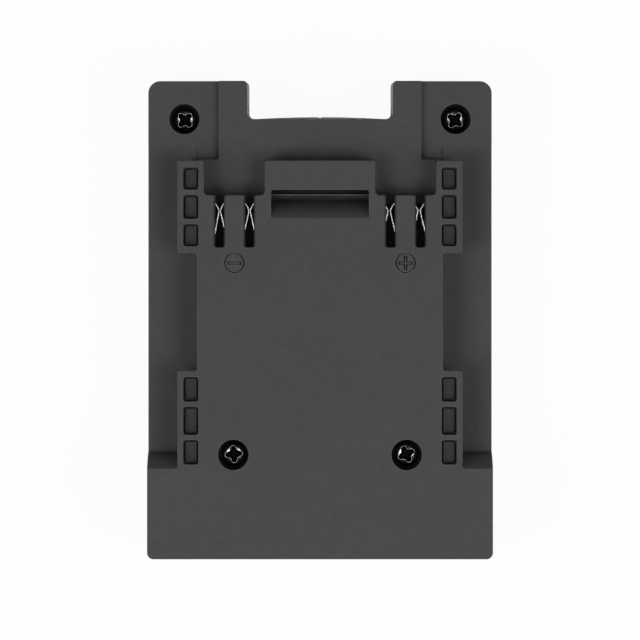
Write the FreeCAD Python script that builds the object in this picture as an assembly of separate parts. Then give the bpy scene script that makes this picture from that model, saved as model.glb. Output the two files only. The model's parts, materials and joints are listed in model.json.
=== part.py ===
import FreeCAD, Part

import math
import os

from FreeCAD import Vector

# Battery adapter, lying on its pack side.
# +Z is the normal of the tool side, +Y points to the notched end, +X to the plus contacts.
# The origin is the centre of the footprint, on the surface that the adapter lies on.
# All sizes are in millimetres.

# Overall sizes
width = 80.0
length = 111.0
thickness = 25.0

# Moulding
wall = 1.7
roof = 2.0
edge_round = 0.25
top_corner_round = 2.8
end_corner_round = 1.5
parting_height = 12.0
parting_gap_height = 0.4
parting_gap_depth = 0.3
lip_height = 1.0
lip_thickness = 0.8
fit_gap = 0.1
small_round = 0.2

# How far cutting solids run past a face, and joined solids run into each other
beyond = 1.0
into = 0.5

# Levels of the tool side, measured down from the plateau
strip_drop = 6.2
pad_drop = 7.6
channel_drop = 8.1

# Notch at the top end
notch_half = 16.9
notch_depth = 8.95
notch_mouth_round = 1.0
notch_inner_round = 1.2
rear_notch_margin = 0.35
rear_notch_crown = 0.45
crown_half = 15.0
crown_tick_width = 0.6
crown_tick_depth = 0.2

# Side channels and rails
channel_width = 7.0
rail_overhang = 4.5
rail_thickness = 3.6
neck_draft = 0.95
recess_draft = 0.45
upper_rail_length = 21.45
lower_rail_length = 22.6
rail_corner_round = 0.5

# Corner pads
pad_inner_from_side = 16.4
pad_bottom_from_top = 18.25
channel_inner_from_side = 11.7
channel_end_from_top = 15.05
channel_corner_round = 1.5
pad_corner_round = 0.5
pad_under_strip = 3.0
pad_under_blocks = 1.5

# Plateau
blocks_from_top = 18.75
block_length = 21.1
ramp_run = 3.6
ramp_bulge = 0.5
recess_length = 8.0
recess_from_neck = 1.66
recess_corner_round = 1.0
centre_from_contact = 3.52

# Rail pockets: a moat round a raised floor
pocket_from_rail = 1.35
pocket_width = 3.55
pocket_depth = 3.1
pocket_floor_drop = 2.2
pocket_moat = 0.55
pocket_round = 0.65
pocket_floor_round = 0.22
upper_pocket_margin = 1.6
upper_pocket_lengths = (5.2, 5.6, 5.2)
lower_pocket_margin = 1.5
lower_pocket_lengths = (5.75, 6.55, 5.7)
pocket_rib = 1.15

# Contact slots and contacts
outer_contact_from_recess = 3.58
contact_pitch = 6.94
slot_width = 2.05
slot_length = 12.0
slot_round = 0.6
slot_mouth_width = 2.9
slot_mouth_depth = 1.2
slot_mouth_end = 0.2
slot_mouth_corner = 0.5
plus_contact_shift = -0.31
leaf_thickness = 0.32
leaf_above_base = 1.0
leaf_top_gap = 0.4
leaf_tip_gap = 0.25
leaf_flare = 1.6
leaf_reach = 11.2
leaf_bead_radius = 0.3
leaf_root_gap = 0.05
base_plate = 0.4
base_post_length = 1.6
base_plate_ahead = 0.5
leaf_straight = 1.6

# Distances of the leaves from the middle of their contact: left and right root, pinch, tip
minus_outer_spread = (1.6, 2.15, 0.2, 0.92)
minus_inner_spread = (1.9, 1.9, 0.2, 0.92)
plus_inner_spread = (2.2, 2.2, 0.28, 1.15)
plus_outer_spread = (2.2, 2.2, 0.28, 1.15)

# Latch pocket
latch_side_margin = 1.46
latch_from_blocks = 6.8
latch_length = 6.7
latch_trench = 1.0
latch_trench_depth = 9.0
latch_rib = 0.25
latch_rib_drop = 2.6
latch_rib_slope = 0.6
latch_rib_rise = 0.8
latch_gap = 0.83
latch_gap_depth = 8.5
latch_ramp_drop = 4.6
latch_ramp_bulge = 0.4
latch_lip_drop = 0.1
latch_lip_run = 0.3
latch_round = 0.5
latch_wall = 1.5

# Polarity marks
mark_from_blocks = 23.7
mark_radius = 2.2
mark_line = 0.34
mark_depth = 0.7
mark_bar_length = 3.4
mark_bar_width = 0.88

# Case screws
upper_screw_from_side = 8.4
upper_screw_from_top = 8.85
lower_screw_from_neck = 8.45
lower_screw_from_block = 3.05
screw_head_radius = 2.8
screw_head_height = 2.2
screw_head_round = 0.5
screw_shank_radius = 1.45
screw_shank_length = 7.6
screw_recess_length = 4.15
screw_recess_width = 1.15
screw_recess_depth = 1.4
well_radius = 3.55
well_depth = 8.0
well_wall = 1.5
seat_thickness = 2.0
column_wall = 2.5
screw_hole_gap = 0.05
screw_end_gap = 0.8
screw_recess_taper = 0.6
upper_screw_turns = (45.0, 52.0)
lower_screw_turns = (6.0, 26.0)

# Pack dock in the rear shell
dock_boss_wall = 1.25
dock_rail_overhang = 3.5
dock_rail_thickness = 2.8
dock_roof = 2.0
dock_end_from_block = 8.4
dock_leadin = 1.5
rear_rim_round = 0.6
dock_rim_chamfer = 0.4
rear_skin = 2.0
catch_half = 12.0
catch_length = 8.0
catch_from_notch = 4.5
catch_head_gap = 0.8

# Pack blades and their holder
blade_thickness = 0.8
blade_top_gap = 0.6
blade_above_rim = 3.6
blade_reach = 14.0
blade_tip_chamfer = 1.0
blade_tail_length = 4.0
blade_tail_from_back = 2.0
blade_back_gap = 0.5
blade_fit_gap = 0.05
sense_blade_top_gap = 2.8
sense_blade_reach = 11.0
holder_length = 10.0
holder_height = 8.4
holder_column_gap = 2.0
blade_from_holder_side = 5.0

# Circuit board
board_thickness = 1.6
board_side_gap = 1.3
board_top_gap = 0.5
board_latch_gap = 1.0
board_from_columns = 3.0
post_height = 2.0
post_radius = 2.4
post_from_side = 3.2
upper_post_from_contact = 3.1
lower_post_from_edge = 4.0
board_screw_radius = 0.95
board_screw_length = 5.0
board_screw_head_radius = 1.9
board_screw_head_height = 1.3
board_recess_length = 2.2
board_recess_width = 0.7
board_recess_depth = 0.8
board_recess_turn = 30.0
board_hole_gap = 0.15
board_screw_end_gap = 0.2
strap_thickness = 0.8
strap_half_width = 2.4
strap_on_board = 6.0
strap_behind_tail = 0.5
fuse_size = (6.0, 11.0, 2.6)
transistor_size = (10.0, 9.0, 2.3)
transistor_tab = 1.6
transistor_tab_margin = 1.0
transistor_tab_thickness = 0.6
transistor_lift = 0.1
component_gap = 1.0
component_round = 0.3
capacitor_radius = 2.6
capacitor_top_gap = 1.4
capacitor_from_strap = 12.0

# Places worked out from the sizes above
half_width = width / 2
y_top = length / 2
y_bottom = -length / 2
strip_z = thickness - strip_drop
pad_z = thickness - pad_drop
channel_z = thickness - channel_drop
roof_z = thickness - roof
rail_z = thickness - rail_thickness
low_bay_z = max(channel_z - wall, parting_height + lip_height + fit_gap)

rail_x = half_width - channel_width
neck_x = rail_x - rail_overhang
recess_x = neck_x - recess_from_neck
outer_contact_x = recess_x - outer_contact_from_recess
inner_contact_x = outer_contact_x - contact_pitch
centre_x = inner_contact_x - centre_from_contact
pad_x = half_width - pad_inner_from_side
channel_x = half_width - channel_inner_from_side
inner_x = neck_x - wall

notch_y = y_top - notch_depth
blocks_y = y_top - blocks_from_top
recess_y = blocks_y - recess_length
slot_end_y = recess_y - slot_length
upper_rail_end_y = blocks_y - upper_rail_length
block_y = y_bottom + block_length
lower_rail_start_y = block_y + lower_rail_length
pad_bottom_y = y_top - pad_bottom_from_top
channel_end_y = y_top - channel_end_from_top
latch_y = blocks_y - latch_from_blocks
rib_y = latch_y - latch_trench
gap_y = rib_y - latch_rib - latch_rib_slope
ramp_y = gap_y - latch_gap
latch_end_y = latch_y - latch_length
bay_end_y = recess_y - wall
latch_housing_half = centre_x - wall + fit_gap
latch_housing_end_y = latch_end_y - latch_wall
mark_x = (inner_contact_x + outer_contact_x) / 2
mark_y = blocks_y - mark_from_blocks

upper_screw_x = half_width - upper_screw_from_side
upper_screw_y = y_top - upper_screw_from_top
lower_screw_x = neck_x - lower_screw_from_neck
lower_screw_y = block_y + lower_screw_from_block
upper_head_z = pad_z - well_depth + screw_head_height
lower_head_z = thickness - well_depth + screw_head_height
upper_seat_z = upper_head_z - screw_head_height
lower_seat_z = lower_head_z - screw_head_height
well_boss_radius = well_radius + well_wall
column_radius = screw_shank_radius + screw_hole_gap + column_wall

dock_x = upper_screw_x - well_boss_radius - fit_gap - dock_boss_wall
dock_mouth_x = dock_x - dock_rail_overhang
dock_depth = parting_height - dock_roof
dock_end_y = block_y + dock_end_from_block
catch_top_z = low_bay_z - catch_head_gap - wall
tub_end_y = dock_end_y - wall
holder_x = lower_screw_x - column_radius - holder_column_gap
blade_x = holder_x - blade_from_holder_side
sense_x = blade_x / 3
holder_front_y = tub_end_y
holder_back_y = holder_front_y - holder_length
tail_y = holder_back_y + blade_tail_from_back
blade_top_z = dock_depth - blade_top_gap
sense_blade_top_z = dock_depth - sense_blade_top_gap

board_z = parting_height + post_height
board_top_z = board_z + board_thickness
board_x = inner_x - board_side_gap
board_top_y = bay_end_y - board_top_gap
board_bottom_y = lower_screw_y + well_boss_radius + board_from_columns
post_x = board_x - post_from_side
lower_post_y = board_bottom_y + lower_post_from_edge

leaf_top_z = roof_z - leaf_top_gap
leaf_bottom_z = board_top_z + base_plate + leaf_above_base
leaf_tip_y = bay_end_y - leaf_tip_gap
leaf_root_y = leaf_tip_y - leaf_reach
base_front_y = leaf_root_y - leaf_bead_radius - leaf_root_gap
base_back_y = base_front_y - base_post_length
upper_post_y = base_back_y - upper_post_from_contact


def box(x0, x1, y0, y1, z0, z1):
    """A block between two corners."""
    return Part.makeBox(x1 - x0, y1 - y0, z1 - z0, Vector(x0, y0, z0))


def cylinder(x, y, radius, z0, z1):
    """An upright cylinder."""
    return Part.makeCylinder(radius, z1 - z0, Vector(x, y, z0))


def corner_points(before, corner, after, radius):
    """Start, middle and end of the arc that rounds one corner of an outline."""
    to_before = (before - corner).normalize()
    to_after = (after - corner).normalize()
    half_angle = to_before.getAngle(to_after) / 2
    start = corner + to_before * (radius / math.tan(half_angle))
    end = corner + to_after * (radius / math.tan(half_angle))
    inward = (to_before + to_after).normalize()
    middle = corner + inward * (radius / math.sin(half_angle) - radius)
    return start, middle, end


def outline(points, z):
    """A closed wire through (x, y, corner radius) points."""
    corners = [Vector(x, y, z) for x, y, radius in points]
    pieces = []
    for index, corner in enumerate(corners):
        radius = points[index][2]
        if radius > 0:
            after = corners[(index + 1) % len(corners)]
            pieces.append(corner_points(corners[index - 1], corner, after, radius))
        else:
            pieces.append((corner, None, corner))
    edges = []
    for index, (start, middle, end) in enumerate(pieces):
        if middle is not None:
            edges.append(Part.Arc(start, middle, end).toShape())
        next_start = pieces[(index + 1) % len(pieces)][0]
        if end.distanceToPoint(next_start) > 1e-6:
            edges.append(Part.LineSegment(end, next_start).toShape())
    return Part.Wire(edges)


def prism(points, z0, z1):
    """An upright prism over an outline."""
    return Part.Face(outline(points, z0)).extrude(Vector(0, 0, z1 - z0))


def loft(low_points, z0, high_points, z1):
    """A solid with straight sides between two outlines of as many points."""
    return Part.makeLoft([outline(low_points, z0), outline(high_points, z1)], True, True)


def both_halves(right_points):
    """The right half of an outline, from the top down, joined to its mirror image."""
    left_points = [(-x, y, radius) for x, y, radius in reversed(right_points)]
    return right_points + left_points


def mirrored(shape):
    """The shape on the other side of the centre plane."""
    return shape.mirror(Vector(0, 0, 0), Vector(1, 0, 0))


def pair(shape):
    """A shape and its mirror image."""
    return [shape, mirrored(shape)]


def rounded_rectangle(x0, x1, y0, y1, radius):
    """Corner points of a rectangle with equal corner radii."""
    return [(x0, y0, radius), (x1, y0, radius), (x1, y1, radius), (x0, y1, radius)]


def round_level_edges(shape, z, radius):
    """Round all the edges that lie at one height."""
    edges = []
    for edge in shape.Edges:
        limits = edge.BoundBox
        if abs(limits.ZMin - z) < 1e-4 and abs(limits.ZMax - z) < 1e-4:
            edges.append(edge)
    return shape.makeFillet(radius, edges)


def footprint(inset, notch_margin):
    """Outline of the adapter, drawn in by an inset, with the notch made smaller by a margin."""
    notch_x = notch_half - notch_margin + inset
    right = [
        (notch_x, notch_y + notch_margin - inset, notch_inner_round + inset),
        (notch_x, y_top - inset, max(notch_mouth_round - inset, small_round)),
        (half_width - inset, y_top - inset, max(top_corner_round - inset, small_round)),
        (half_width - inset, y_bottom + inset, max(end_corner_round - inset, small_round)),
    ]
    return both_halves(right)


def top_plate_outline():
    """Outline of the plateau with its rails, contact slots and full-width end block."""
    right = [(centre_x, blocks_y, rail_corner_round), (centre_x, recess_y, recess_corner_round)]
    for x in (inner_contact_x, outer_contact_x):
        right += [
            (x - slot_width / 2, recess_y, rail_corner_round),
            (x - slot_width / 2, slot_end_y, slot_round),
            (x + slot_width / 2, slot_end_y, slot_round),
            (x + slot_width / 2, recess_y, rail_corner_round),
        ]
    right += [
        (recess_x, recess_y, recess_corner_round),
        (recess_x, blocks_y, rail_corner_round),
        (rail_x, blocks_y, rail_corner_round),
        (rail_x, upper_rail_end_y, rail_corner_round),
        (neck_x, upper_rail_end_y, rail_corner_round),
        (neck_x, lower_rail_start_y, rail_corner_round),
        (rail_x, lower_rail_start_y, rail_corner_round),
        (rail_x, block_y, rail_corner_round),
        (half_width, block_y, rail_corner_round),
        (half_width, y_bottom, end_corner_round),
    ]
    return both_halves(right)


def slot_mouth_outline(x, side_growth, end_growth):
    """Outline of one contact slot, grown at its sides and its closed end, with rounded mouth corners."""
    half = slot_width / 2 + side_growth
    wide = half + slot_mouth_corner + small_round
    end_y = slot_end_y - end_growth
    mouth_y = recess_y + fit_gap
    return [
        (x - wide, recess_y + beyond, 0),
        (x - wide, mouth_y, 0),
        (x - half, mouth_y, slot_mouth_corner),
        (x - half, end_y, slot_round + end_growth),
        (x + half, end_y, slot_round + end_growth),
        (x + half, mouth_y, slot_mouth_corner),
        (x + wide, mouth_y, 0),
        (x + wide, recess_y + beyond, 0),
    ]


def slot_mouth(x):
    """The drafted mouth of one contact slot."""
    grown = (slot_mouth_depth + into) / slot_mouth_depth
    side_growth = (slot_mouth_width - slot_width) / 2 * grown
    low = slot_mouth_outline(x, 0, 0)
    high = slot_mouth_outline(x, side_growth, slot_mouth_end * grown)
    return loft(low, thickness - slot_mouth_depth, high, thickness + into)


def neck_outline(draft, side_draft):
    """Outline of the raised body under the rails, wider at its foot by the drafts."""
    right = [
        (centre_x + draft, blocks_y + draft, rail_corner_round),
        (centre_x + draft, recess_y + draft, recess_corner_round),
        (recess_x - draft, recess_y + draft, recess_corner_round),
        (recess_x - draft, blocks_y + draft, rail_corner_round),
        (neck_x + side_draft, blocks_y + draft, rail_corner_round),
        (neck_x + side_draft, block_y - beyond, 0),
    ]
    return both_halves(right)


def level_region(points, z, radius):
    """The part of the footprint inside some outline, up to a level, with its top edges rounded."""
    region = prism(points, parting_height, z)
    body = prism(footprint(0, 0), parting_height, z).common(region)
    return round_level_edges(body, z, radius)


def pad_region():
    """Outline of the right corner pad, running on under the strip beside it."""
    return [
        (pad_x - pad_under_strip, y_top + beyond, 0),
        (pad_x - pad_under_strip, pad_bottom_y - pad_under_blocks, 0),
        (channel_x, pad_bottom_y - pad_under_blocks, 0),
        (channel_x, channel_end_y, channel_corner_round),
        (half_width + beyond, channel_end_y, 0),
        (half_width + beyond, y_top + beyond, 0),
    ]


def strip_region():
    """Outline of the strip between the notch and the plateau, with the floors of the two recesses."""
    right = [
        (pad_x, y_top + beyond, 0),
        (pad_x, pad_bottom_y, pad_corner_round),
        (channel_x, pad_bottom_y, small_round),
        (channel_x, recess_y - beyond, 0),
    ]
    return both_halves(right)


def ramp_swell(foot, top, bulge, across):
    """The rounded swell of a ramp above the straight line from its foot to its top."""
    along = top - foot
    outward = Vector(0, along.z, -along.y).normalize()
    middle = (foot + top) * 0.5 + outward * bulge
    wire = Part.Wire([Part.Arc(foot, middle, top).toShape(), Part.LineSegment(top, foot).toShape()])
    return Part.Face(wire).extrude(Vector(across, 0, 0))


def end_ramp():
    """The swelling slope that closes the right channel at the end block."""
    foot = Vector(neck_x, block_y + ramp_run, channel_z)
    top = Vector(neck_x, block_y, thickness - edge_round)
    corners = [
        Vector(neck_x, block_y - beyond, parting_height),
        Vector(neck_x, foot.y, parting_height),
        foot,
        top,
        Vector(neck_x, block_y - beyond, top.z),
    ]
    across = half_width - neck_x
    body = Part.Face(Part.makePolygon(corners + corners[:1])).extrude(Vector(across, 0, 0))
    return body.fuse(ramp_swell(foot, top, ramp_bulge, across))


def rail_pocket(y_high, pocket_length):
    """The space of one pocket in the right rail: the room over its raised floor and the moat round it."""
    x1 = rail_x - pocket_from_rail
    x0 = x1 - pocket_width
    y0 = y_high - pocket_length
    outer = rounded_rectangle(x0, x1, y0, y_high, pocket_round)
    inner = rounded_rectangle(
        x0 + pocket_moat, x1 - pocket_moat, y0 + pocket_moat, y_high - pocket_moat, pocket_floor_round
    )
    hole = prism(outer, thickness - pocket_depth, thickness + beyond)
    island = prism(inner, thickness - pocket_depth - beyond, thickness - pocket_floor_drop)
    return hole.cut(island)


def rail_pockets():
    """All the pockets of the right rail."""
    pockets = []
    rows = (
        (blocks_y - upper_pocket_margin, upper_pocket_lengths),
        (lower_rail_start_y - lower_pocket_margin, lower_pocket_lengths),
    )
    for y_high, lengths in rows:
        for pocket_length in lengths:
            pockets.append(rail_pocket(y_high, pocket_length))
            y_high -= pocket_length + pocket_rib
    return pockets


def latch_slab(section, half):
    """A solid as wide as the latch pocket, from its side view in (y, z) points."""
    corners = [Vector(-half, y, z) for y, z in section]
    face = Part.Face(Part.makePolygon(corners + corners[:1]))
    return face.extrude(Vector(2 * half, 0, 0))


def latch_pocket():
    """The latch pocket: a trench, a rib with a sloping top, a gap, and a ramp that rises to the plateau."""
    half = centre_x - latch_side_margin
    foot = Vector(-half, ramp_y, thickness - latch_ramp_drop)
    lip = Vector(-half, latch_end_y + latch_lip_run, thickness - latch_lip_drop)
    swell = ramp_swell(foot, lip, latch_ramp_bulge, 2 * half)
    section = [
        (latch_y, thickness + beyond),
        (latch_y, thickness - latch_trench_depth),
        (rib_y, thickness - latch_trench_depth),
        (rib_y, thickness - latch_rib_drop),
        (rib_y - latch_rib, thickness - latch_rib_drop),
        (gap_y, thickness - latch_rib_drop + latch_rib_rise),
        (gap_y, thickness - latch_gap_depth),
        (ramp_y, thickness - latch_gap_depth),
        (foot.y, foot.z),
        (lip.y, lip.z),
        (latch_end_y, thickness),
        (latch_end_y, thickness + beyond),
    ]
    mouth = rounded_rectangle(-half, half, latch_end_y - beyond, latch_y, latch_round)
    return latch_slab(section, half).cut(swell).common(prism(mouth, 0, thickness + beyond))


def latch_housing():
    """The wall that closes the latch pocket from below."""
    low = thickness - latch_trench_depth - latch_wall
    high = thickness - latch_gap_depth - latch_wall
    section = [
        (latch_y + latch_wall, roof_z),
        (latch_y + latch_wall, low),
        (rib_y - latch_wall, low),
        (rib_y - latch_wall, high),
        (ramp_y - latch_wall, high),
        (latch_housing_end_y, roof_z),
    ]
    return latch_slab(section, latch_housing_half)


def bar_groove(x, y, size_x, size_y):
    """A thin engraved line round a rectangle."""
    low = thickness - mark_depth
    outer = box(x - size_x / 2, x + size_x / 2, y - size_y / 2, y + size_y / 2, low, thickness + beyond)
    inner_x = size_x / 2 - mark_line
    inner_y = size_y / 2 - mark_line
    inner = box(x - inner_x, x + inner_x, y - inner_y, y + inner_y, low - beyond, thickness + beyond)
    return outer.cut(inner)


def plus_shape(x, y, half_size, half_bar, low):
    """An upright solid over a plus sign."""
    high = thickness + beyond
    level_bar = box(x - half_size, x + half_size, y - half_bar, y + half_bar, low, high)
    return level_bar.fuse(box(x - half_bar, x + half_bar, y - half_size, y + half_size, low, high))


def cross_groove(x, y, size, bar):
    """A thin engraved line round a plus sign."""
    low = thickness - mark_depth
    outer = plus_shape(x, y, size / 2, bar / 2, low)
    return outer.cut(plus_shape(x, y, size / 2 - mark_line, bar / 2 - mark_line, low - beyond))


def ring_groove(x, y):
    """An engraved ring."""
    low = thickness - mark_depth
    outer = cylinder(x, y, mark_radius + mark_line / 2, low, thickness + beyond)
    return outer.cut(cylinder(x, y, mark_radius - mark_line / 2, low - beyond, thickness + beyond))


def polarity_marks():
    """The engraved minus and plus signs in their rings."""
    return [
        ring_groove(-mark_x, mark_y),
        bar_groove(-mark_x, mark_y, mark_bar_length, mark_bar_width),
        ring_groove(mark_x, mark_y),
        cross_groove(mark_x, mark_y, mark_bar_length, mark_bar_width),
    ]


def front_hollows():
    """The inner spaces of the front shell."""
    end_inner_y = block_y - wall
    low_bay = prism(footprint(wall, 0), 0, low_bay_z)
    plateau_bay = box(-inner_x, inner_x, end_inner_y - beyond, bay_end_y, 0, roof_z)
    end_bay = box(-half_width + wall, half_width - wall, y_bottom + wall, end_inner_y, 0, roof_z)
    centre_bay = box(-centre_x + wall, centre_x - wall, bay_end_y - beyond, blocks_y - wall, 0, roof_z)
    return [low_bay, plateau_bay, end_bay, centre_bay]


def screw_places():
    """Axis and seat height of the case screws on the right."""
    return [(upper_screw_x, upper_screw_y, upper_seat_z), (lower_screw_x, lower_screw_y, lower_seat_z)]


def front_shell():
    """The moulded cover on the tool side."""
    body = level_region(rounded_rectangle(-width, width, -length, length, 0), channel_z, edge_round)
    pad = level_region(pad_region(), pad_z, edge_round)
    strip = level_region(strip_region(), strip_z, edge_round)
    top_plate = round_level_edges(prism(top_plate_outline(), rail_z, thickness), thickness, edge_round)
    neck = loft(neck_outline(recess_draft, neck_draft), channel_z - into, neck_outline(0, 0), rail_z)
    end_block = prism(footprint(0, 0), parting_height, rail_z)
    end_block = end_block.common(box(-width, width, -length, block_y, 0, thickness))
    body = body.multiFuse(pair(pad) + [strip, neck, top_plate, end_block] + pair(end_ramp()))
    body = body.cut(Part.makeCompound(front_hollows()))

    upper_boss = cylinder(
        upper_screw_x, upper_screw_y, well_boss_radius, upper_seat_z - seat_thickness, low_bay_z + into
    )
    lower_boss = cylinder(
        lower_screw_x, lower_screw_y, well_boss_radius, lower_seat_z - seat_thickness, roof_z + into
    )
    body = body.multiFuse(pair(upper_boss) + pair(lower_boss) + [latch_housing()])

    slots = []
    for x in (inner_contact_x, outer_contact_x):
        slot = box(
            x - slot_width / 2, x + slot_width / 2, slot_end_y + slot_round, recess_y + recess_draft + into,
            strip_z, rail_z + into
        )
        slots += pair(slot) + pair(slot_mouth(x))
    wells = []
    for x, y, seat_z in screw_places():
        well = cylinder(x, y, well_radius, seat_z, thickness + beyond)
        hole = cylinder(x, y, screw_shank_radius + screw_hole_gap, 0, seat_z + beyond)
        wells += pair(well) + pair(hole)
    pockets = []
    for pocket in rail_pockets():
        pockets += pair(pocket)
    for cutter in slots + wells + pockets + [latch_pocket()] + polarity_marks():
        body = body.cut(cutter)

    groove = prism(footprint(-beyond, 0), parting_height - beyond, parting_height + parting_gap_height)
    return body.cut(groove.cut(prism(footprint(parting_gap_depth, 0), 0, thickness)))


def crown():
    """The gentle bulge of the rear shell's edge at the bottom of the notch, with its small tick."""
    edge_y = notch_y + rear_notch_margin
    left = Vector(-crown_half, edge_y, 0)
    right = Vector(crown_half, edge_y, 0)
    top = Vector(0, edge_y + rear_notch_crown, 0)
    arc = Part.Arc(left, top, right).toShape()
    chord = [right, Vector(crown_half, edge_y - into, 0), Vector(-crown_half, edge_y - into, 0), left]
    edges = [arc] + [Part.LineSegment(a, b).toShape() for a, b in zip(chord[:-1], chord[1:])]
    body = Part.Face(Part.Wire(edges)).extrude(Vector(0, 0, parting_height))
    half_tick = crown_tick_width / 2
    tick_y = edge_y + rear_notch_crown - crown_tick_depth
    tick = box(-half_tick, half_tick, tick_y, tick_y + beyond, -beyond, parting_height + beyond)
    return body.cut(tick)


def locating_lip():
    """The thin rim of the rear shell that stands inside the front shell."""
    outer = prism(footprint(wall + fit_gap, 0), parting_height - into, parting_height + lip_height)
    return outer.cut(prism(footprint(wall + fit_gap + lip_thickness, 0), 0, thickness))


def dock_cutters():
    """The dock for the pack: the wide space behind the lips, and the mouth between them."""
    end_y = y_top + beyond
    x = dock_mouth_x
    dock = box(-dock_x, dock_x, dock_end_y, end_y, dock_rail_thickness, dock_depth)
    mouth = box(-x, x, dock_end_y, end_y, -beyond, dock_depth)
    grown = x + dock_rim_chamfer
    rim = loft(
        rounded_rectangle(-grown, grown, dock_end_y - dock_rim_chamfer, end_y, 0), 0,
        rounded_rectangle(-x, x, dock_end_y, end_y, 0), dock_rim_chamfer
    )
    leadin = prism([
        (x - beyond, end_y, 0),
        (x - beyond, y_top - dock_leadin - beyond, 0),
        (x, y_top - dock_leadin, 0),
        (x + dock_leadin + beyond, end_y, 0),
    ], -beyond, dock_depth)
    return [dock, mouth, rim] + pair(leadin)


def rear_hollows():
    """The inner spaces of the rear shell: the tub behind the dock and the hollows beside it."""
    wall_x = half_width - wall
    lip_x = wall_x - fit_gap - lip_thickness - fit_gap
    hollow_end_y = upper_screw_y - well_boss_radius - fit_gap - wall
    tub = box(-wall_x, wall_x, y_bottom + wall, tub_end_y, rear_skin, parting_height)
    hollow = box(dock_x + wall, wall_x, tub_end_y - into, hollow_end_y, rear_skin, parting_height)
    over_hollow = box(
        dock_x + wall, lip_x, tub_end_y - into, hollow_end_y, parting_height - into, parting_height + into
    )
    return [tub] + pair(hollow.fuse(over_hollow))


def rear_shell():
    """The moulded base with the dock for the battery pack."""
    body = prism(footprint(0, rear_notch_margin), 0, parting_height)
    body = round_level_edges(body, 0, rear_rim_round)
    catch_y = notch_y - catch_from_notch
    catch_end_y = catch_y - catch_length
    catch_x = catch_half + wall
    catch_housing = box(
        -catch_x, catch_x, catch_end_y - wall, catch_y + wall, parting_height - into, catch_top_z + wall
    )
    body = body.multiFuse([crown(), locating_lip(), catch_housing])

    catch_pocket = box(-catch_half, catch_half, catch_end_y, catch_y, dock_depth - into, catch_top_z)
    for cutter in dock_cutters() + rear_hollows() + [catch_pocket]:
        body = body.cut(cutter)

    column_top_z = lower_seat_z - seat_thickness - fit_gap
    column = cylinder(lower_screw_x, lower_screw_y, column_radius, rear_skin - into, column_top_z)
    posts = []
    board_holes = []
    for y in (upper_post_y, lower_post_y):
        hole_end_z = board_top_z - board_screw_length - board_screw_end_gap
        posts += pair(cylinder(post_x, y, post_radius, parting_height - into, board_z))
        board_holes += pair(cylinder(post_x, y, board_screw_radius + screw_hole_gap, hole_end_z, thickness))
    body = body.multiFuse(pair(column) + posts)

    case_holes = []
    for x, y, seat_z in screw_places():
        hole_end_z = seat_z - screw_shank_length - screw_end_gap
        case_holes += pair(cylinder(x, y, screw_shank_radius + screw_hole_gap, hole_end_z, thickness))
    socket_z = upper_seat_z - seat_thickness - fit_gap
    socket = cylinder(upper_screw_x, upper_screw_y, well_boss_radius + fit_gap, socket_z, thickness)
    blade_slots = [blade_slot(x, top_z) for x, top_z in blade_places()]
    for cutter in case_holes + pair(socket) + board_holes + blade_slots:
        body = body.cut(cutter)
    return body


def blade_places():
    """Where each blade stands, with the height of its top edge."""
    return [
        (-blade_x, blade_top_z),
        (-sense_x, sense_blade_top_z),
        (sense_x, sense_blade_top_z),
        (blade_x, blade_top_z),
    ]


def blade_slot(x, top_z):
    """The slot that a blade passes through."""
    half = blade_thickness / 2 + blade_fit_gap
    low = blade_above_rim - blade_fit_gap
    high = top_z + blade_fit_gap
    return box(x - half, x + half, holder_back_y - beyond, dock_end_y + beyond, low, high)


def blade(x, high, reach, tail):
    """An upright flat blade with a chamfered tip; a power blade has a tail that rises to its strap."""
    low = blade_above_rim
    tip_y = dock_end_y + reach
    back_y = holder_back_y + blade_back_gap
    corners = [
        (back_y, low),
        (tip_y - blade_tip_chamfer, low),
        (tip_y, low + blade_tip_chamfer),
        (tip_y, high - blade_tip_chamfer),
        (tip_y - blade_tip_chamfer, high),
    ]
    if tail:
        corners += [
            (tail_y + blade_tail_length, high),
            (tail_y + blade_tail_length, board_top_z),
            (tail_y, board_top_z),
            (tail_y, high),
        ]
    corners.append((back_y, high))
    points = [Vector(x - blade_thickness / 2, y, z) for y, z in corners]
    face = Part.Face(Part.makePolygon(points + points[:1]))
    return face.extrude(Vector(blade_thickness, 0, 0))


def blade_holder():
    """The insulating block that grips the blades behind the dock's end wall."""
    body = box(-holder_x, holder_x, holder_back_y, holder_front_y, rear_skin, rear_skin + holder_height)
    for x, top_z in blade_places():
        body = body.cut(blade_slot(x, top_z))
    tail_half = blade_thickness / 2 + blade_fit_gap
    for x in (-blade_x, blade_x):
        body = body.cut(box(
            x - tail_half, x + tail_half, tail_y - blade_fit_gap, tail_y + blade_tail_length + blade_fit_gap,
            blade_above_rim, thickness
        ))
    return body


def strap(x):
    """A flat conductor from a blade's tail to the board."""
    y0 = tail_y - strap_behind_tail
    y1 = board_bottom_y + strap_on_board
    x0 = x - strap_half_width
    x1 = x + strap_half_width
    return box(x0, x1, y0, y1, board_top_z, board_top_z + strap_thickness)


def circuit_board():
    """The board that carries the contacts, cut out round the housing of the latch pocket."""
    body = box(-board_x, board_x, board_bottom_y, board_top_y, board_z, board_top_z)
    x = latch_housing_half + board_latch_gap
    body = body.cut(box(-x, x, latch_housing_end_y - board_latch_gap, board_top_y + beyond, 0, thickness))
    for y in (upper_post_y, lower_post_y):
        for cutter in pair(cylinder(post_x, y, board_screw_radius + board_hole_gap, 0, thickness)):
            body = body.cut(cutter)
    return body


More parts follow.
